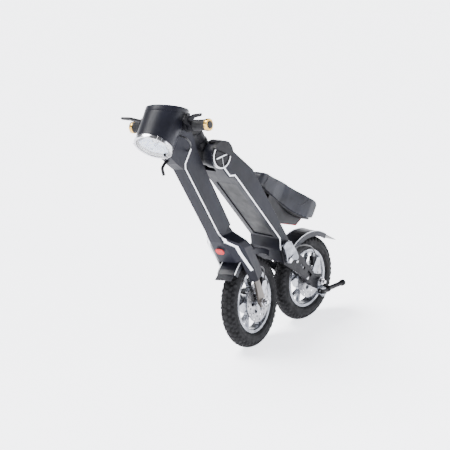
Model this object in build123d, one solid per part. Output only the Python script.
from build123d import *
from math import cos, pi, radians, sin, sqrt, tan
import os

# Small two-wheeled folding e-bicycle, stored folded: two legs joined at a top hinge.
# While modelling, X is forward from the rear axle, Y is left and Z is up from the floor, in mm.
# The finished model is moved so that its origin is the middle of its footprint on the floor.
# The front leg is modelled straight and then turned about the steering axis to its rest angle.

# ---- wheels
TYRE_RADIUS = 159.0
TYRE_SECTION = 29.5
RIM_RADIUS = 109.0
RIM_HALF_WIDTH = 19.5
RIM_DEPTH = 13.0
SPOKE_PAIRS = 5
SPOKE_SPREAD = 15.0
HUB_RADIUS = 46.0
HUB_HALF_WIDTH = 22.0
ROTOR_RADIUS = 70.0
ROTOR_THICKNESS = 2.4
ROTOR_OFFSET = 29.0
AXLE_RADIUS = 7.0
AXLE_END_RADIUS = 6.0
AXLE_END_LENGTH = 10.0
CALIPER_FACE = ROTOR_OFFSET + ROTOR_THICKNESS + 9.6
RUNNING_GAP = 0.05

# ---- places in the side view
HINGE = (518.0, 692.0)
FRONT_AXLE_X = 333.5
STEER_LEAN = 31.0
STEER_REST = 10.5
STEER_TRAIL = 117.0

# ---- rear leg
REAR_HALF_WIDTH = 65.0
REAR_ARM_INNER = 46.0
LUG_INNER = REAR_ARM_INNER + 2
ARCH_RADIUS = 188.0
PLATE_THICKNESS = 7.0
BATTERY_HALF_WIDTH = 44.0
BATTERY_GAP = 0.5
PANEL_DEPTH = 9.0
HINGE_DISC_RADIUS = 41.0
HINGE_KNUCKLE_RADIUS = 36.0
HINGE_PIN_RADIUS = 10.0
KNUCKLE_HALF_WIDTH = 27.0
COWL_THICKNESS = 5.0
STRIPE_WIDTH = 4.6
STRIPE_HEIGHT = 1.2
SPINDLE_RADIUS = 12.0

# ---- front leg
FRONT_HALF_WIDTH = 20.0
FRONT_FLARE = 13.0
SHIELD_HALF_WIDTH = 69.0
FORK_INNER = 45.0
DROPOUT_OUTER = 52.0
DROPOUT_THICKNESS = 9.0
FRONT_AXLE_HALF = 66.0
REAR_AXLE_HALF = 100.0

# ---- fenders
FRONT_FENDER_RADIUS = 184.0
REAR_FENDER_RADIUS = 178.0
FENDER_SKIN = 2.4
FENDER_HALF_WIDTH = 36.0
FENDER_SKIRT = 17.0

# ---- headlight and handlebar
LAMP_RADIUS = 57.0
LAMP_BACK_RADIUS = 62.0
LAMP_LENGTH = 136.0
LAMP_WALL = 3.0
LAMP_EDGE = 6.0
LID_DEPTH = 17.0
LID_SLANT = 15.0
LAMP_TOP = (694.0, 853.0)
LAMP_RIM = 5.0
BEZEL_DEPTH = 11.0
BEZEL_STEP = 1.6
LENS_THICKNESS = 2.5
LAMP_FRONT = (783.0, 745.5)
LAMP_DIP = 49.0
BAR_AT = (689.0, 798.0)
BAR_RADIUS = 11.1
SLEEVE_RADIUS = 14.0
SLEEVE_HALF = 71.0
GRIP_RADIUS = 16.5
GRIP_IN = 74.0
GRIP_OUT = 132.0
RING_WIDTH = 11.0
LEVER_PIN_RADIUS = 2.5

# ---- seat and foot pegs
SEAT_PIVOT = (278.0, 533.0)
SEAT_PIN_RADIUS = 5.0
SEAT_DROP = 33.5
SADDLE_LENGTH = 308.0
SADDLE_HALF_WIDTH = 76.0
WEDGE_HALF_WIDTH = 32.0
SEAT_LUG_HALF = 13.0
PEG_AT = (0.0, 124.0)
PEG_LENGTH = 118.0
PEG_RADIUS = 8.5
PEG_LINE = 90.0
PEG_PIN_RADIUS = 4.0

LEFT = Vector(0, 1, 0)
STEER_DIR = Vector(sin(radians(STEER_LEAN)), 0, cos(radians(STEER_LEAN)))
STEER_NORMAL = Vector(cos(radians(STEER_LEAN)), 0, -sin(radians(STEER_LEAN)))
STEER_AXIS = Axis((HINGE[0], 0, HINGE[1]), tuple(STEER_DIR))


def front_axle_height():
    """Height of the straight front axle that puts the turned, leaning tyre on the floor."""
    turn = radians(STEER_REST)
    lean_back = STEER_TRAIL * (1 - cos(turn)) * sin(radians(STEER_LEAN))
    normal_z = sin(turn) * sin(radians(STEER_LEAN))
    ring = TYRE_RADIUS - TYRE_SECTION
    return ring * sqrt(1 - normal_z ** 2) + TYRE_SECTION - lean_back


REAR_AXLE = (0.0, TYRE_RADIUS)
FRONT_AXLE = (FRONT_AXLE_X, front_axle_height())


# ---------------------------------------------------------------- shape helpers
def at(xz, y=0.0):
    """A point of the side view, at a distance y to the left."""
    return Vector(xz[0], y, xz[1])


def toward(angle):
    """Unit direction in the side view, in degrees up from forward."""
    return Vector(cos(radians(angle)), 0, sin(radians(angle)))


def polar(centre, radius, angle):
    """A side-view point on a circle round centre."""
    return (centre[0] + radius * cos(radians(angle)), centre[1] + radius * sin(radians(angle)))


def slab(points, low, high):
    """A side-view outline, thickened from y = low to y = high."""
    outline = Wire.make_polygon([at(p, low) for p in points], close=True)
    return Solid.extrude(Face(outline), Vector(0, high - low, 0))


def rod(start, end, radius):
    """A round bar between two points."""
    start, end = Vector(start), Vector(end)
    plane = Plane(origin=start, z_dir=end - start)
    return Solid.make_cylinder(radius, (end - start).length, plane)


def cross_rod(xz, low, high, radius):
    """A round bar along Y."""
    return rod(at(xz, low), at(xz, high), radius)


def cross_ring(xz, low, high, outer, inner):
    """A round ring whose axis is along Y."""
    return cross_rod(xz, low, high, outer) - cross_rod(xz, low - 1, high + 1, inner)


def turned(profile, xz):
    """A profile of (radius, y) points, turned full circle about a lateral line through xz."""
    outline = Wire.make_polygon([(xz[0] + r, y, xz[1]) for r, y in profile], close=True)
    return Solid.revolve(Face(outline), 360, Axis(tuple(at(xz)), tuple(LEFT)))


def sector(centre, radius, start, end, steps=14):
    """Side-view points on an arc."""
    return [polar(centre, radius, start + (end - start) * i / steps) for i in range(steps + 1)]


def mirrored(shape):
    """The same shape on the right-hand side."""
    return shape.mirror(Plane.XZ)


def both(shape):
    """A left-hand shape and its mirror image, as one group."""
    return Compound([shape, mirrored(shape)])


# ---------------------------------------------------------------- wheels
def tyre(axle):
    ring = Solid.make_torus(TYRE_RADIUS - TYRE_SECTION, TYRE_SECTION, Plane(at(axle), z_dir=LEFT))
    seat_half = RIM_HALF_WIDTH
    return ring - cross_rod(axle, -seat_half, seat_half, RIM_RADIUS)


def rim(axle):
    """Cast wheel: a channel rim, a hub barrel and pairs of flat spokes."""
    w, r, inner = RIM_HALF_WIDTH, RIM_RADIUS, RIM_RADIUS - RIM_DEPTH
    channel = turned([(r, -w), (r, w), (inner + 3, w), (inner, w - 4),
                      (inner, 4 - w), (inner + 3, -w)], axle)
    barrel = cross_ring(axle, -HUB_HALF_WIDTH, HUB_HALF_WIDTH, HUB_RADIUS, HUB_RADIUS - 8)
    wheel = channel + barrel
    for pair in range(SPOKE_PAIRS):
        middle = 90 + 360 * pair / SPOKE_PAIRS
        for side in (-1, 1):
            foot = polar(axle, HUB_RADIUS - 3, middle - side * SPOKE_SPREAD * 0.5)
            head = polar(axle, inner + 2, middle + side * SPOKE_SPREAD)
            wheel += spoke(foot, head)
    return wheel


def spoke(foot, head):
    """One flat spoke, wider at the hub."""
    run = Vector(head[0] - foot[0], 0, head[1] - foot[1]).normalized()
    across = Vector(-run.Z, 0, run.X)
    foot_half, head_half, half_depth = 6.5, 4.5, 7.0
    corners = [at(foot) - across * foot_half, at(head) - across * head_half,
               at(head) + across * head_half, at(foot) + across * foot_half]
    face = Face(Wire.make_polygon([c - LEFT * half_depth for c in corners], close=True))
    return Solid.extrude(face, LEFT * (2 * half_depth))


def hub(axle):
    """Hub core with a flange, bored for the axle."""
    core_radius = HUB_RADIUS - 8
    core = cross_rod(axle, -HUB_HALF_WIDTH, HUB_HALF_WIDTH, core_radius)
    boss_radius, boss_end = 19.0, ROTOR_OFFSET + 4
    core += cross_rod(axle, -boss_end, boss_end, boss_radius)
    return core - cross_rod(axle, -REAR_AXLE_HALF, REAR_AXLE_HALF, AXLE_RADIUS + RUNNING_GAP)


def rotor(axle):
    """Brake disc with a ring of holes, carried on the hub boss."""
    y0, y1 = ROTOR_OFFSET, ROTOR_OFFSET + ROTOR_THICKNESS
    disc = cross_ring(axle, y0, y1, ROTOR_RADIUS, 19.0)
    hole_count, hole_radius = 12, 4.0
    for i in range(hole_count):
        for radius, shift in ((ROTOR_RADIUS - 8, 0), (ROTOR_RADIUS - 20, 15)):
            spot = polar(axle, radius, 360 * i / hole_count + shift)
            disc -= cross_rod(spot, y0 - 1, y1 + 1, hole_radius)
    window_count, window_radius = 6, 9.0
    for i in range(window_count):
        spot = polar(axle, 33, 360 * i / window_count)
        disc -= cross_rod(spot, y0 - 1, y1 + 1, window_radius)
    return disc


def axle_nuts(axle, inner_face):
    """Cup washer and hexagon nut on each end of an axle."""
    washer = cross_ring(axle, inner_face, inner_face + 3, 14.0, AXLE_RADIUS)
    hexagon = [polar(axle, 12.5, 60 * i) for i in range(6)]
    nut = slab(hexagon, inner_face + 3, inner_face + 12)
    nut -= cross_rod(axle, inner_face, inner_face + 20, AXLE_RADIUS)
    return both(washer + nut)


# ---------------------------------------------------------------- rear leg
REAR_FRONT_EDGE = [(545, 672), (516, 652), (481, 616), (456, 615), (428, 587), (224, 360), (220, 322),
                   (192, 268)]
REAR_BACK_EDGE = [(150, 268), (168, 345), (363, 626), (493.3, 724.6)]


def rear_leg_solid():
    """Outside of the rear leg: a wide flat box that ends in a hood over the rear wheel."""
    body = slab(REAR_FRONT_EDGE + REAR_BACK_EDGE, -REAR_HALF_WIDTH, REAR_HALF_WIDTH)
    return body + cross_rod(HINGE, -REAR_HALF_WIDTH, REAR_HALF_WIDTH, HINGE_DISC_RADIUS)


def rear_leg_shell():
    """Rear leg with its hinge clevis, battery bay and wheel arch cut out."""
    leg = rear_leg_solid()
    clear = KNUCKLE_HALF_WIDTH + 1
    leg -= cross_rod(HINGE, -clear, clear, HINGE_KNUCKLE_RADIUS + 24)
    leg -= slab([(HINGE[0] - 20, HINGE[1] - 14), (HINGE[0] + 80, HINGE[1] - 60), (HINGE[0] + 80, 800),
                 (HINGE[0] - 90, 800), (HINGE[0] - 40, HINGE[1] + 10)], -clear, clear)
    leg -= cross_rod(HINGE, -90, 90, HINGE_PIN_RADIUS)
    leg -= battery_bay(0)
    leg -= cross_rod(REAR_AXLE, -REAR_ARM_INNER, REAR_ARM_INNER, ARCH_RADIUS)
    return leg


def battery_bay(gap):
    """Battery space: open towards the front, backed by the leg's rear wall."""
    half = BATTERY_HALF_WIDTH - gap
    run = Vector(424 - 229, 0, 582 - 365).normalized()
    normal = Vector(run.Z, 0, -run.X)
    depth, length = 38.0, 285.0
    start = Vector(229, 0, 365) + run * (4 + gap) - normal * (depth - gap)
    plane = Plane(origin=start + LEFT * half, x_dir=run, z_dir=normal)
    reach = 60.0 if gap == 0 else depth - gap - PANEL_DEPTH * 0.4
    return Solid.make_box(length - 2 * gap, 2 * half, reach, plane)


def battery_pack():
    """Removable battery with rounded long edges."""
    return battery_bay(BATTERY_GAP)


def stripe(path, low, high):
    """A line of constant width that follows a side-view path, from y = low to y = high."""
    half, strips = STRIPE_WIDTH / 2, None
    for a, b in zip(path[:-1], path[1:]):
        run = Vector(b[0] - a[0], 0, b[1] - a[1]).normalized()
        across = Vector(-run.Z, 0, run.X) * half
        ends = [at(a) - across - run * half, at(b) - across + run * half,
                at(b) + across + run * half, at(a) + across - run * half]
        piece = slab([(p.X, p.Z) for p in ends], low, high)
        strips = piece if strips is None else strips + piece
    return strips


def inset(path, amount):
    """A side-view path moved sideways, towards the back of the leg."""
    moved = []
    for i, point in enumerate(path):
        before, after = path[max(i - 1, 0)], path[min(i + 1, len(path) - 1)]
        run = Vector(after[0] - before[0], 0, after[1] - before[1]).normalized()
        moved.append((point[0] + run.Z * amount, point[1] - run.X * amount))
    return moved


def rear_stripe():
    """White line along the front corner of the rear leg's left side."""
    path = inset([(510, 652), (479, 618), (455, 616), (428, 587), (226, 362), (222, 324), (200, 290)], 4.5)
    line = stripe(path, REAR_HALF_WIDTH, REAR_HALF_WIDTH + STRIPE_HEIGHT)
    return line - cross_rod(HINGE, 0, 90, HINGE_DISC_RADIUS + 0.2)


def hinge_covers():
    """Round side covers of the fold hinge, dished at the middle."""
    y0 = REAR_HALF_WIDTH
    cover = cross_rod(HINGE, y0, y0 + 5, HINGE_DISC_RADIUS - 5)
    cover -= cross_ring(HINGE, y0 + 3.5, y0 + 6, HINGE_DISC_RADIUS - 9, HINGE_DISC_RADIUS - 12)
    return both(cover)


def hinge_rings():
    y0 = REAR_HALF_WIDTH
    return both(cross_ring(HINGE, y0, y0 + 7, HINGE_DISC_RADIUS, HINGE_DISC_RADIUS - 5))


def cowl_arc(outer, start, end):
    return sector(HINGE, outer, start, end) + sector(HINGE, outer - COWL_THICKNESS, end, start)


def hinge_cowls():
    """Curved guards over the top of the hinge, one on each side of the neck."""
    y0, y1 = KNUCKLE_HALF_WIDTH + 3, REAR_HALF_WIDTH + 12
    outer = HINGE_DISC_RADIUS + 7
    start, clear, end = 37, 66, 132
    guard = slab(cowl_arc(outer, clear, end), y0, y1) + slab(cowl_arc(outer, start, end), REAR_HALF_WIDTH - 2, y1)
    web = slab(sector(HINGE, outer - 1, clear, 120) + sector(HINGE, HINGE_DISC_RADIUS - 1, 120, clear), y0, y0 + 6)
    web -= cross_rod(HINGE, y0 - 1, y0 + 8, HINGE_DISC_RADIUS)
    side = slab(sector(HINGE, outer - 0.5, start, end + 59), y1 - 4, y1)
    return both(guard + web + side)


def fold_hinge_pin():
    y = REAR_HALF_WIDTH - 1
    return cross_rod(HINGE, -y, y, HINGE_PIN_RADIUS - 0.02)


def side_plates():
    """Black plates that carry the rear axle, one on each side of the wheel."""
    y0 = REAR_HALF_WIDTH + 0.0
    outline = [(222, 318), (176, 346), (126, 296), (20, 186), (-14, 182), (-24, 160), (-14, 138),
               (10, 130), (32, 142), (92, 196), (206, 270)]
    plate = slab(outline, y0, y0 + PLATE_THICKNESS)
    plate -= cross_rod(REAR_AXLE, y0 - 1, y0 + 20, AXLE_RADIUS)
    for centre in ((98, 236), (58, 200)):
        run, across = toward(45) * 15, toward(135) * 5.5
        mid = at(centre)
        ends = [mid - run - across, mid + run - across, mid + run + across, mid - run + across]
        plate -= slab([(p.X, p.Z) for p in ends], y0 - 1, y0 + PLATE_THICKNESS + 1)
    lug_outline = [(24, 180), (-16, 178), (-20, 146), (14, 136), (44, 152), (92, 200), (60, 214)]
    lug = slab(lug_outline, LUG_INNER, REAR_HALF_WIDTH)
    return both(plate + (lug - cross_rod(REAR_AXLE, 0, 90, AXLE_RADIUS)) - rear_stripe())


def rear_axle():
    """Through-axle, stepped down on the free length outside each nut."""
    shoulder = REAR_AXLE_HALF - AXLE_END_LENGTH
    shaft = cross_rod(REAR_AXLE, -shoulder, shoulder, AXLE_RADIUS)
    return shaft + cross_rod(REAR_AXLE, -REAR_AXLE_HALF, REAR_AXLE_HALF, AXLE_END_RADIUS)


# ---------------------------------------------------------------- fenders and brakes
def fender(axle, radius, start, end, tail):
    """A mudguard of channel section round a wheel, with a straight tail."""
    outer, inner = radius, radius - FENDER_SKIN
    half = FENDER_HALF_WIDTH
    top = slab(sector(axle, outer, start, end) + sector(axle, inner, end, start), -half, half)
    skirt_arc = sector(axle, outer, start, end) + sector(axle, inner - FENDER_SKIRT, end, start)
    top += slab(skirt_arc, half - FENDER_SKIN, half)
    top += slab(skirt_arc, -half, FENDER_SKIN - half)
    along = 1 if end > start else -1
    tip = at(polar(axle, outer, end)) + toward(end + 90 * along) * tail
    lift = toward(end) * 6
    a, b = at(polar(axle, outer, end)), tip + lift
    c, d = b - toward(end) * FENDER_SKIN, at(polar(axle, inner, end))
    return top + slab([(p.X, p.Z) for p in (a, b, c, d)], -half * 0.86, half * 0.86)


def rear_fender():
    """Rear mudguard with the tab that carries it on the back of the leg."""
    tab = [polar(REAR_AXLE, REAR_FENDER_RADIUS - 1, 39), polar(REAR_AXLE, REAR_FENDER_RADIUS - 1, 52),
           (161, 315), (151.4, 274)]
    guard = fender(REAR_AXLE, REAR_FENDER_RADIUS, 36, 122, 78) + slab(tab, -14, 14)
    return guard - rear_leg_solid()


def front_fender():
    """Front mudguard with the block that carries it under the shield."""
    r = FRONT_FENDER_RADIUS
    block = sector(FRONT_AXLE, r - 1, 60, 72) + sector(FRONT_AXLE, ARCH_RADIUS + 10, 72, 60)
    return fender(FRONT_AXLE, r, 122, 44, 26) + slab(block, -14, 14)


def caliper(axle, angle):
    """Brake calliper: two pad blocks joined over the disc, with a cable arm."""
    disc_mid = ROTOR_OFFSET + ROTOR_THICKNESS / 2
    gap = ROTOR_THICKNESS / 2 + 0.6
    inner, outer = ROTOR_RADIUS - 20, ROTOR_RADIUS + 14
    left = slab(wedge(axle, inner, outer, angle, 17), disc_mid + gap, CALIPER_FACE)
    right = slab(wedge(axle, inner, outer, angle, 17), disc_mid - gap - 7, disc_mid - gap)
    bridge = slab(wedge(axle, ROTOR_RADIUS + 2, outer, angle, 15), disc_mid - gap - 1, disc_mid + gap + 1)
    return left + right + bridge


def wedge(axle, inner, outer, angle, half):
    return sector(axle, outer, angle - half, angle + half, 6) + sector(axle, inner, angle + half,
                                                                       angle - half, 6)


def rear_caliper_bracket():
    """Silver adaptor from the left plate's lug to the calliper."""
    outline = [(8, 184), (-6, 206), (-26, 238), (-44, 232), (-46, 206), (-28, 184), (-10, 170), (4, 172)]
    plate = slab(outline, CALIPER_FACE, CALIPER_FACE + 3.5)
    return plate + slab([(8, 184), (-2, 190), (-16, 176), (-10, 170), (4, 172)], CALIPER_FACE, LUG_INNER)


def front_caliper_bracket():
    ax, az = FRONT_AXLE
    outline = [(ax - 6, az + 34), (ax - 24, az + 66), (ax - 46, az + 66), (ax - 50, az + 40), (ax - 16, az + 8)]
    return slab(outline, CALIPER_FACE, DROPOUT_OUTER + 1 - DROPOUT_THICKNESS)


# ---------------------------------------------------------------- latch, pegs, seat
LATCH_PIVOT = (190.0, 282.0)


def latch_lever():
    """Cast lever that locks the battery and the fold, lying along the plate."""
    y0 = REAR_HALF_WIDTH + PLATE_THICKNESS + 0.5
    outline = [(202, 284), (206, 300), (222, 340), (206, 352), (182, 350), (150, 308), (136, 282),
               (144, 272), (164, 278), (182, 270), (196, 272)]
    lever = slab(outline, y0, y0 + 11)
    lever -= cross_rod(LATCH_PIVOT, y0 - 1, y0 + 20, 5.05)
    return lever


def latch_bolt():
    y0 = REAR_HALF_WIDTH
    shank = cross_rod(LATCH_PIVOT, y0 + PLATE_THICKNESS, y0 + PLATE_THICKNESS + 12, 5.0)
    return shank + cross_rod(LATCH_PIVOT, y0 + PLATE_THICKNESS + 12, y0 + PLATE_THICKNESS + 17, 8.5)


def peg_bracket():
    """Bracket on the left axle end: a plate and two ears with the peg's pivot pin."""
    y0 = REAR_HALF_WIDTH + PLATE_THICKNESS
    x, z = PEG_AT
    outline = sector(REAR_AXLE, 15, 0, 180, 9) + [(x - 13, z - PEG_RADIUS - 6), (x + 13, z - PEG_RADIUS - 6)]
    plate = slab(outline, y0, y0 + 6) - cross_rod(REAR_AXLE, y0 - 1, y0 + 9, AXLE_RADIUS)
    for low in (z + PEG_RADIUS + 0.5, z - PEG_RADIUS - 5.5):
        plate += rod((x, PEG_LINE, low), (x, PEG_LINE, low + 5), 11)
        plate += Solid.make_box(22, PEG_LINE - y0 - 2, 5, Plane(origin=(x - 11, y0 + 2, low)))
    low, high = z - PEG_RADIUS - 8, z + PEG_RADIUS + 8
    plate += rod((x, PEG_LINE, low), (x, PEG_LINE, high), PEG_PIN_RADIUS)
    return plate + rod((x, PEG_LINE, low - 3), (x, PEG_LINE, low), PEG_PIN_RADIUS + 3)


def foot_peg(side):
    """Folding peg: a collar on the pivot pin, a bar behind it, a ring and an end cap."""
    x, z = PEG_AT
    y = side * PEG_LINE
    peg = rod((x, y, z - PEG_RADIUS), (x, y, z + PEG_RADIUS), 9.0)
    peg += rod((x - 6, y, z), (x - PEG_LENGTH, y, z), PEG_RADIUS)
    peg += rod((x - 26, y, z), (x - 34, y, z), PEG_RADIUS + 3.5)
    peg += rod((x - PEG_LENGTH, y, z), (x - PEG_LENGTH - 12, y, z), PEG_RADIUS + 3)
    return peg - rod((x, y, z - 20), (x, y, z + 20), PEG_PIN_RADIUS + RUNNING_GAP)


SEAT_RUN = Vector(-cos(radians(SEAT_DROP)), 0, -sin(radians(SEAT_DROP)))
SEAT_UP = Vector(-sin(radians(SEAT_DROP)), 0, cos(radians(SEAT_DROP)))
SEAT_NOSE = Vector(287, 0, 557)


def seat_point(along, up, y=0.0):
    """A point given along the saddle from its nose and up from its underside."""
    return SEAT_NOSE + SEAT_RUN * along + SEAT_UP * up + LEFT * y


def to_side(point):
    """The side-view pair of a point."""
    return (point.X, point.Z)


def seat_slab(outline, half):
    """A slab about the middle plane, from (along, up) points of the saddle."""
    return slab([to_side(seat_point(a, u)) for a, u in outline], -half, half)


def seat_layer(stations, low, high):
    """A slab of the saddle's plan shape between two heights above its underside."""
    left = [seat_point(a, low, w) for a, w in stations]
    right = [seat_point(a, low, -w) for a, w in reversed(stations)]
    outline = Wire.make_polygon(left + right, close=True)
    return Solid.extrude(Face(outline), SEAT_UP * (high - low))


SADDLE_PLAN = [(-4, 18), (10, 27), (60, 33), (120, 38), (170, 50), (210, 64), (250, SADDLE_HALF_WIDTH),
               (284, SADDLE_HALF_WIDTH - 2), (SADDLE_LENGTH - 4, SADDLE_HALF_WIDTH - 20)]
SADDLE_SIDE = [(-4, 38), (8, 50), (110, 60), (270, 64), (296, 54), (SADDLE_LENGTH - 4, 32), (288, 5), (250, -8),
               (200, -14), (0, 4)]
SADDLE_GAP = 0.3


def saddle_cushion():
    """Plain block of the padded saddle."""
    side = slab([to_side(seat_point(a, u)) for a, u in SADDLE_SIDE], -SADDLE_HALF_WIDTH, SADDLE_HALF_WIDTH)
    return side & seat_layer(SADDLE_PLAN, -30, 80)


def saddle_base():
    """Hard underside: a tray under the cushion over a wedge that deepens towards the back."""
    tray = [(14, 2.3), (200, -14 - SADDLE_GAP), (250, -8 - SADDLE_GAP), (280, 2), (284, -4), (250, -15),
            (200, -21), (14, -5)]
    plan = [(14, 20), (70, 27), (130, 32), (180, 44), (220, 58), (256, 66), (284, 60)]
    base = slab([to_side(seat_point(a, u)) for a, u in tray], -90, 90) & seat_layer(plan, -40, 40)
    wedge_points = [(20, -2), (118, -55), (174, -68), (264, -38), (280, -6), (250, -12), (200, -18)]
    base += seat_slab(wedge_points, WEDGE_HALF_WIDTH)
    base -= seat_slab([(-10, -5), (64, -5), (64, -60), (-10, -60)], WEDGE_HALF_WIDTH + 1)
    base += seat_slab([(10, -1), (74, -6), (74, -30), (28, -25), (12, -18)], SEAT_LUG_HALF)
    base += cross_rod(SEAT_PIVOT, -SEAT_LUG_HALF, SEAT_LUG_HALF, 11)
    return base - cross_rod(SEAT_PIVOT, -60, 60, SEAT_PIN_RADIUS + RUNNING_GAP)


def seat_mount():
    """Fork on the back of the rear leg with the saddle's pivot pin."""
    run = Vector(363 - 168, 0, 626 - 345).normalized()
    outward = Vector(-run.Z, 0, run.X)
    foot = Vector(363, 0, 626) - run * 125
    pivot = at(SEAT_PIVOT)
    outline = [foot + run * 24, foot - run * 28, pivot - run * 10, pivot + outward * 8, pivot + run * 10]
    ear = slab([(p.X, p.Z) for p in outline], SEAT_LUG_HALF + 0.5, SEAT_LUG_HALF + 8)
    pad = slab([(p.X, p.Z) for p in (foot + run * 34, foot - run * 36, foot - run * 36 + outward * 4,
                                     foot + run * 34 + outward * 4)], -26, 26)
    pin = cross_rod(SEAT_PIVOT, -26, 26, SEAT_PIN_RADIUS)
    return ear + mirrored(ear) + pad + pin


# ---------------------------------------------------------------- neck
def steering_neck():
    """Fold knuckle on the hinge pin, rising into the steering head."""
    knuckle = cross_rod(HINGE, -KNUCKLE_HALF_WIDTH, KNUCKLE_HALF_WIDTH, HINGE_KNUCKLE_RADIUS)
    head = rod(at(HINGE) + STEER_DIR * 10, at(HINGE) + STEER_DIR * 52, 25)
    neck = knuckle + head
    neck -= cross_rod(HINGE, -80, 80, HINGE_PIN_RADIUS + RUNNING_GAP)
    neck += rod(at(HINGE) + STEER_DIR * 51, at(HINGE) + STEER_DIR * 85, SPINDLE_RADIUS)
    return neck + rod(at(HINGE) + STEER_DIR * 83.3, at(HINGE) + STEER_DIR * 90, 20)


# ---------------------------------------------------------------- front leg, modelled straight
FRONT_EDGE = [(610, 744), (628, 790), (650, 815), (735, 718), (700, 686), (668, 664), (506, 402),
              (402, 262), (378, 240)]
BACK_EDGE = [(346, 262), (362, 300), (404, 372), (440, 431), (544, 611), (592, 697), (606, 728)]
CREASE_FOOT = Vector(506, 0, 402)
CREASE_RUN = Vector(668 - 506, 0, 664 - 402).normalized()
CREASE_NORMAL = Vector(CREASE_RUN.Z, 0, -CREASE_RUN.X)


def front_leg_solid(grow=0.0):
    """Narrow front leg that spreads into a shield and a fork over the front wheel."""
    w, s = FRONT_HALF_WIDTH + grow, SHIELD_HALF_WIDTH + grow
    side = slab(FRONT_EDGE + BACK_EDGE, -90, 90)
    upper = front_section([(40, w), (0, w), (-140, w + FRONT_FLARE)], 12, 440)
    shield = front_section([(grow, w), (grow - 34, s), (-150, s)], -330, 420)
    return (side & upper) + (side & shield & lateral_outline(grow))


def front_leg_shell():
    """The front leg with its wheel arch and a seat for the headlight."""
    leg = front_leg_solid() - cross_rod(FRONT_AXLE, -FORK_INNER, FORK_INNER, ARCH_RADIUS + 10)
    leg -= lamp_cone(-5, LAMP_LENGTH + 60)
    leg -= rod(lamp_at(-20), lamp_at(BEZEL_DEPTH), LAMP_RADIUS + BEZEL_STEP)
    return leg - front_trim() - front_dropouts()


def front_section(half_plan, low, high):
    """A prism along the leg whose section is given as (depth, half width) pairs."""
    start = CREASE_FOOT + CREASE_RUN * low
    left = [start + CREASE_NORMAL * (d + 1) + LEFT * w for d, w in half_plan]
    right = [start + CREASE_NORMAL * (d + 1) - LEFT * w for d, w in reversed(half_plan)]
    return Solid.extrude(Face(Wire.make_polygon(left + right, close=True)), CREASE_RUN * (high - low))


def lateral_outline(grow):
    """Front view of the shield and fork arms, cut through the whole depth."""
    w, top = SHIELD_HALF_WIDTH + grow, FRONT_HALF_WIDTH + grow
    half = [(top - 2, 446), (top + 4, 424), (w - 8, 392), (w, 372), (w, 290), (w - 4, 236)]
    points = half + [(-y, z) for y, z in reversed(half)]
    face = Face(Wire.make_polygon([Vector(200, y, z) for y, z in points], close=True))
    return Solid.extrude(face, Vector(460, 0, 0))


def front_trim():
    """White line set into each corner of the front leg and round the shield."""
    path = inset([(634, 722), (664, 682), (664, 664), (508, 412), (500, 400), (470, 378), (456, 356), (406, 286)], 3.0)
    band = stripe(path, 0, 90) + stripe(path, -90, 0)
    core = cross_rod((520, 500), -FRONT_HALF_WIDTH + 3, FRONT_HALF_WIDTH - 3, 500)
    return (band & front_leg_solid(STRIPE_HEIGHT)) - front_leg_solid(-STRIPE_HEIGHT) - core


def front_dropouts():
    """Metal fork ends that carry the front axle."""
    ax, az = FRONT_AXLE
    outline = [(ax + 44, az + 104), (ax + 22, az + 108), (ax - 4, az + 40), (ax - 18, az + 4), (ax - 12, az - 14),
               (ax + 10, az - 16), (ax + 22, az - 2), (ax + 30, az + 40)]
    y1 = DROPOUT_OUTER + 1
    end = slab(outline, y1 - DROPOUT_THICKNESS, y1) - cross_rod(FRONT_AXLE, 0, 90, AXLE_RADIUS)
    return both(end)


def front_axle():
    return cross_rod(FRONT_AXLE, -FRONT_AXLE_HALF - 6, FRONT_AXLE_HALF + 6, AXLE_RADIUS)


def steering_yoke():
    """Arm from the top of the front leg to the steering head, bored for its spindle."""
    low, high = at(HINGE) + STEER_DIR * 52.3, at(HINGE) + STEER_DIR * 83
    reach = slab([(low.X + 6, low.Z - 4), (high.X, high.Z - 2), (622, 752), (612, 738), (592, 697)], -15, 15)
    head_space = rod(at(HINGE) + STEER_DIR * 20, low, 28)
    cap_space = rod(high + STEER_DIR * 0.1, high + STEER_DIR * 20, 22)
    yoke = rod(low, high, 22) + reach - head_space - cap_space - slab(FRONT_EDGE + BACK_EDGE, -40, 40)
    return yoke - rod(low - STEER_DIR * 4, high + STEER_DIR * 4, SPINDLE_RADIUS + RUNNING_GAP)


# ---------------------------------------------------------------- headlight and handlebar
LAMP_DIR = toward(-LAMP_DIP)
LID_NORMAL = toward(90 + LID_SLANT)


def lamp_at(back):
    """A point on the lamp's axis, back from its front rim."""
    return at(LAMP_FRONT) - LAMP_DIR * back


def lamp_cone(start, end, grow=0.0):
    """The nacelle's round body between two distances behind its front rim."""
    spread = (LAMP_BACK_RADIUS - LAMP_RADIUS) / LAMP_LENGTH
    plane = Plane(origin=lamp_at(start), z_dir=-LAMP_DIR)
    first, last = LAMP_RADIUS + spread * start + grow, LAMP_RADIUS + spread * end + grow
    return Solid.make_cone(first, last, end - start, plane)


def lamp_body(start, depth, grow=0.0):
    """The nacelle from a distance behind its front rim up to a plane below its slanting lid."""
    top = at(LAMP_TOP) - LID_NORMAL * depth
    above = Solid.make_box(400, 400, 200, Plane(origin=top - LEFT * 200, x_dir=LEFT, z_dir=LID_NORMAL))
    above = above.moved(Location(LEFT.cross(LID_NORMAL) * 200))
    return lamp_cone(start, LAMP_LENGTH + 60, grow) - above


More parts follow.
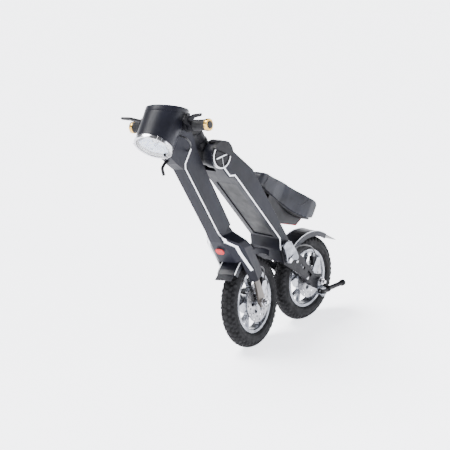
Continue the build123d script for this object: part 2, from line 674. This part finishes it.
def lamp_housing():
    """Large round nacelle, open at the front, with the handlebar through it."""
    shell = lamp_body(4, 0)
    lid_rim = [e for e in shell.edges() if abs((e.position_at(0.3) - at(LAMP_TOP)).dot(LID_NORMAL)) < 0.5]
    shell = shell.fillet(LAMP_EDGE, lid_rim)
    seam = lamp_body(4, LID_DEPTH, 1) - lamp_body(0, LID_DEPTH + 1.2, 2) - lamp_body(0, 0, -1)
    shell = shell - lamp_body(0, LAMP_WALL, -LAMP_WALL) - seam
    return shell - cross_rod(BAR_AT, -90, 90, SLEEVE_RADIUS)


def lamp_bezel():
    """Bright ring round the lens, over the nacelle's front edge."""
    ring = rod(lamp_at(0), lamp_at(BEZEL_DEPTH), LAMP_RADIUS + BEZEL_STEP)
    ring -= rod(lamp_at(-1), lamp_at(BEZEL_DEPTH + 1), LAMP_RADIUS - LAMP_RIM)
    return ring - lamp_cone(4, 20)


def lamp_lens():
    """Clear bowed lens just inside the bezel."""
    r = LAMP_RADIUS - LAMP_RIM
    outside = [(0, -5), (r * 0.35, -4.2), (r * 0.7, -1.8), (r, 1.4)]
    inside = [(radius, depth + LENS_THICKNESS) for radius, depth in reversed(outside)]
    return lamp_turned(outside + inside)


def lamp_turned(profile):
    """A profile of (radius, depth behind the rim) points, turned about the lamp's axis."""
    plane = Plane(lamp_at(0), x_dir=LEFT, z_dir=LAMP_DIR)
    points = [plane.from_local_coords(Vector(r, 0, -d)) for r, d in profile]
    outline = Face(Wire.make_polygon(points, close=True))
    return Solid.revolve(outline, 360, Axis(tuple(lamp_at(0)), tuple(LAMP_DIR)))


def lamp_reflector():
    """Bowl reflector behind the lens."""
    r = LAMP_RADIUS - LAMP_WALL + 0.3
    return lamp_turned([(r - 2, 16), (r - 2, 18), (42, 34), (22, 46), (9, 49), (9, 52), (24, 49), (44, 37),
                        (r, 18), (r, 16)])


def lamp_board():
    """Light emitter on its round board behind the reflector."""
    return lamp_cone(52, 54, -LAMP_WALL) + rod(lamp_at(49.5), lamp_at(52), 6)


def bar_sleeve():
    """Fixed outer tube of the handlebar, across the nacelle."""
    return cross_ring(BAR_AT, -SLEEVE_HALF, SLEEVE_HALF, SLEEVE_RADIUS, BAR_RADIUS + RUNNING_GAP)


def bar_clamps():
    """Split clamps that lock the telescopic bars."""
    y0, y1 = LAMP_BACK_RADIUS + 0.6, SLEEVE_HALF - 0.5
    clamp = cross_ring(BAR_AT, y0, y1, SLEEVE_RADIUS + 6, SLEEVE_RADIUS)
    ear = Solid.make_box(16, y1 - y0, 18, Plane(origin=(BAR_AT[0] - 10, y0, BAR_AT[1] + SLEEVE_RADIUS + 4)))
    return both(clamp + ear)


def bar_tube():
    """Sliding inner tube of the left handlebar."""
    return cross_rod(BAR_AT, 2.0, GRIP_OUT + RING_WIDTH + 2, BAR_RADIUS)


def bar_grip():
    return cross_ring(BAR_AT, GRIP_IN + 14, GRIP_OUT, GRIP_RADIUS, BAR_RADIUS)


def bar_ring():
    return cross_ring(BAR_AT, GRIP_OUT, GRIP_OUT + RING_WIDTH, GRIP_RADIUS + 1.5, BAR_RADIUS)


LEVER_PIVOT = (714.0, 818.0)


def lever_perch():
    """Clamp on the bar beside the grip, with two ears for the brake lever."""
    ring = cross_ring(BAR_AT, GRIP_IN, GRIP_IN + 13, BAR_RADIUS + 6, BAR_RADIUS)
    px, pz = LEVER_PIVOT
    arm = slab([(BAR_AT[0] + 4, BAR_AT[1] + 16), (px - 8, pz + 10), (px + 8, pz + 6), (px + 10, pz - 8),
                (BAR_AT[0] + 16, BAR_AT[1] + 2)], GRIP_IN, GRIP_IN + 13)
    arm -= cross_rod(BAR_AT, 0, 200, BAR_RADIUS + 2)
    root, pin = at(LEVER_PIVOT, GRIP_IN + 6), lever_side()
    pivot = rod(root - pin * 9.5, root + pin * 9.5, LEVER_PIN_RADIUS)
    return (ring + arm) - lever_slot() + pivot


def lever_normal():
    """Direction from the bar to the lever pivot."""
    return Vector(LEVER_PIVOT[0] - BAR_AT[0], 0, LEVER_PIVOT[1] - BAR_AT[1]).normalized()


def lever_side():
    """Direction of the lever's pivot pin."""
    out = lever_normal()
    return Vector(-out.Z, 0, out.X)


def lever_slot():
    out, pin = lever_normal(), lever_side()
    plane = Plane(origin=at(LEVER_PIVOT, GRIP_IN - 6) + out * 29 - pin * 3.8, x_dir=LEFT, z_dir=pin)
    return Solid.make_box(40, 40, 7.6, plane)


def brake_lever():
    """Lever blade pointing outwards along the grip."""
    out, pin = lever_normal(), lever_side()
    root = at(LEVER_PIVOT, GRIP_IN + 6)
    points = [root - LEFT * 5 - out * 6, root + LEFT * 16 - out * 7, root + LEFT * 40 + out * 12,
              root + LEFT * 66 + out * 18, root + LEFT * 68 + out * 25, root + LEFT * 36 + out * 22,
              root + LEFT * 6 + out * 7, root - LEFT * 5 + out * 5]
    face = Face(Wire.make_polygon([p - pin * 3.4 for p in points], close=True))
    blade = Solid.extrude(face, pin * 6.8)
    return blade - rod(root - pin * 20, root + pin * 20, LEVER_PIN_RADIUS + RUNNING_GAP)


def bag_hook():
    """Curved hook below the lamp."""
    path = FilletPolyline((704, -6, 700), (726, -6, 692), (741, -6, 680), (736, -6, 658), radius=[12, 9])
    return sweep(Plane(path @ 0, z_dir=path % 0) * Circle(4.5), path) - front_leg_solid()


def hose(points, radius):
    """A brake hose along straight runs joined by the largest tangent arcs that fit."""
    spots = [Vector(*p) for p in points]
    radii = []
    for a, b, c in zip(spots[:-2], spots[1:-1], spots[2:]):
        turn = radians((b - a).get_angle(c - b))
        radii.append(0.45 * min((b - a).length, (c - b).length) / tan(turn / 2))
    path = FilletPolyline(*spots, radius=radii)
    tube = sweep(Plane(path @ 0, z_dir=path % 0) * Circle(radius), path)
    print("hose radii", [round(r) for r in radii], "length", round(path.length),
          "fill", round(tube.volume / (pi * radius ** 2 * path.length), 3))
    return tube


HOSE_RADIUS = 2.4


def loom(side):
    """Cable from the nacelle's side to the top of the front leg."""
    tube = hose([(704, 40 * side, 772), (700, 64 * side, 762), (689, 67 * side, 748), (674, 58 * side, 736),
                 (658, 42 * side, 726), (644, 24 * side, 716)], HOSE_RADIUS)
    return tube - front_leg_solid() - lamp_cone(0, LAMP_LENGTH)


def front_hose():
    """Hose from the back of the left fork arm to the calliper."""
    tube = hose([(356, 57, 284), (338, 56, 283), (318, 53, 276), (302, 47, 262), (291, 40, 246),
                 (284, 36, 228)], HOSE_RADIUS)
    return tube - front_leg_solid() - caliper(FRONT_AXLE, 126)


def rear_hose():
    """Hose from the back of the leg, over the wheel's left side, down to the calliper."""
    tube = hose([(160, 60, 299), (137, 60, 309), (106, 59, 312), (74, 56, 308), (42, 52, 299), (13, 47, 285),
                 (-12, 41, 264), (-27, 37, 236)], HOSE_RADIUS)
    return tube - rear_leg_solid() - caliper(REAR_AXLE, 112)


# ---------------------------------------------------------------- assembly
def fixed_nodes():
    """Pieces that stand in the plane of the rear wheel."""
    return {
        "rear_leg_shell": rear_leg_shell(),
        "battery_pack": battery_pack(),
        "rear_leg_trim": both(rear_stripe()),
        "hinge_covers": hinge_covers(),
        "hinge_rings": hinge_rings(),
        "hinge_cowls": hinge_cowls(),
        "fold_hinge_pin": fold_hinge_pin(),
        "rear_side_plates": side_plates(),
        "rear_axle": rear_axle(),
        "rear_fender": rear_fender(),
        "rear_caliper": caliper(REAR_AXLE, 112),
        "rear_caliper_bracket": rear_caliper_bracket(),
        "rear_brake_hose": rear_hose(),
        "latch_bolt": latch_bolt(),
        "battery_latch_lever": latch_lever(),
        "peg_brackets": both(peg_bracket()),
        "left_foot_peg": foot_peg(1),
        "right_foot_peg": foot_peg(-1),
        "rear_axle_nuts": axle_nuts(REAR_AXLE, REAR_HALF_WIDTH + PLATE_THICKNESS + 6),
        "seat_mount": seat_mount(),
        "saddle_cushion": saddle_cushion(),
        "saddle_base": saddle_base(),
        "rear_tyre": tyre(REAR_AXLE),
        "rear_rim": rim(REAR_AXLE),
        "rear_hub": hub(REAR_AXLE),
        "rear_brake_disc": rotor(REAR_AXLE),
        "steering_neck": steering_neck(),
    }


def steered_nodes():
    """Pieces of the front assembly, as they stand before the steering is turned."""
    return {
        "front_leg_shell": front_leg_shell(),
        "front_leg_trim": front_trim(),
        "front_dropouts": front_dropouts(),
        "front_axle": front_axle(),
        "front_axle_nuts": axle_nuts(FRONT_AXLE, DROPOUT_OUTER + 1),
        "front_fender": front_fender(),
        "front_caliper": caliper(FRONT_AXLE, 126),
        "front_caliper_bracket": front_caliper_bracket(),
        "front_brake_hose": front_hose(),
        "steering_yoke": steering_yoke(),
        "headlight_housing": lamp_housing(),
        "headlight_bezel": lamp_bezel(),
        "headlight_lens": lamp_lens(),
        "headlight_reflector": lamp_reflector(),
        "headlight_board": lamp_board(),
        "headlight_cables": Compound([loom(1), loom(-1)]),
        "handlebar_sleeve": bar_sleeve(),
        "handlebar_clamps": bar_clamps(),
        "bag_hook": bag_hook(),
        "left_bar_tube": bar_tube(),
        "right_bar_tube": mirrored(bar_tube()),
        "left_grip": bar_grip(),
        "right_grip": mirrored(bar_grip()),
        "left_grip_ring": bar_ring(),
        "right_grip_ring": mirrored(bar_ring()),
        "front_tyre": tyre(FRONT_AXLE),
        "front_rim": rim(FRONT_AXLE),
        "front_hub": hub(FRONT_AXLE),
        "front_brake_disc": rotor(FRONT_AXLE),
        "left_lever_perch": lever_perch(),
        "right_lever_perch": mirrored(lever_perch()),
        "left_brake_lever": brake_lever(),
        "right_brake_lever": mirrored(brake_lever()),
    }


def main():
    nodes = fixed_nodes()
    for name, shape in steered_nodes().items():
        nodes[name] = shape.rotate(STEER_AXIS, STEER_REST)
    bounds = Compound(list(nodes.values())).bounding_box()
    origin = Vector(bounds.center().X, bounds.center().Y, 0)
    os.makedirs("parts", exist_ok=True)
    for name, shape in nodes.items():
        export_step(shape.moved(Location(-origin)), "parts/" + name + ".step")
    print("nodes", len(nodes), "origin", origin, "size", bounds.size, "lowest", bounds.min.Z)


main()
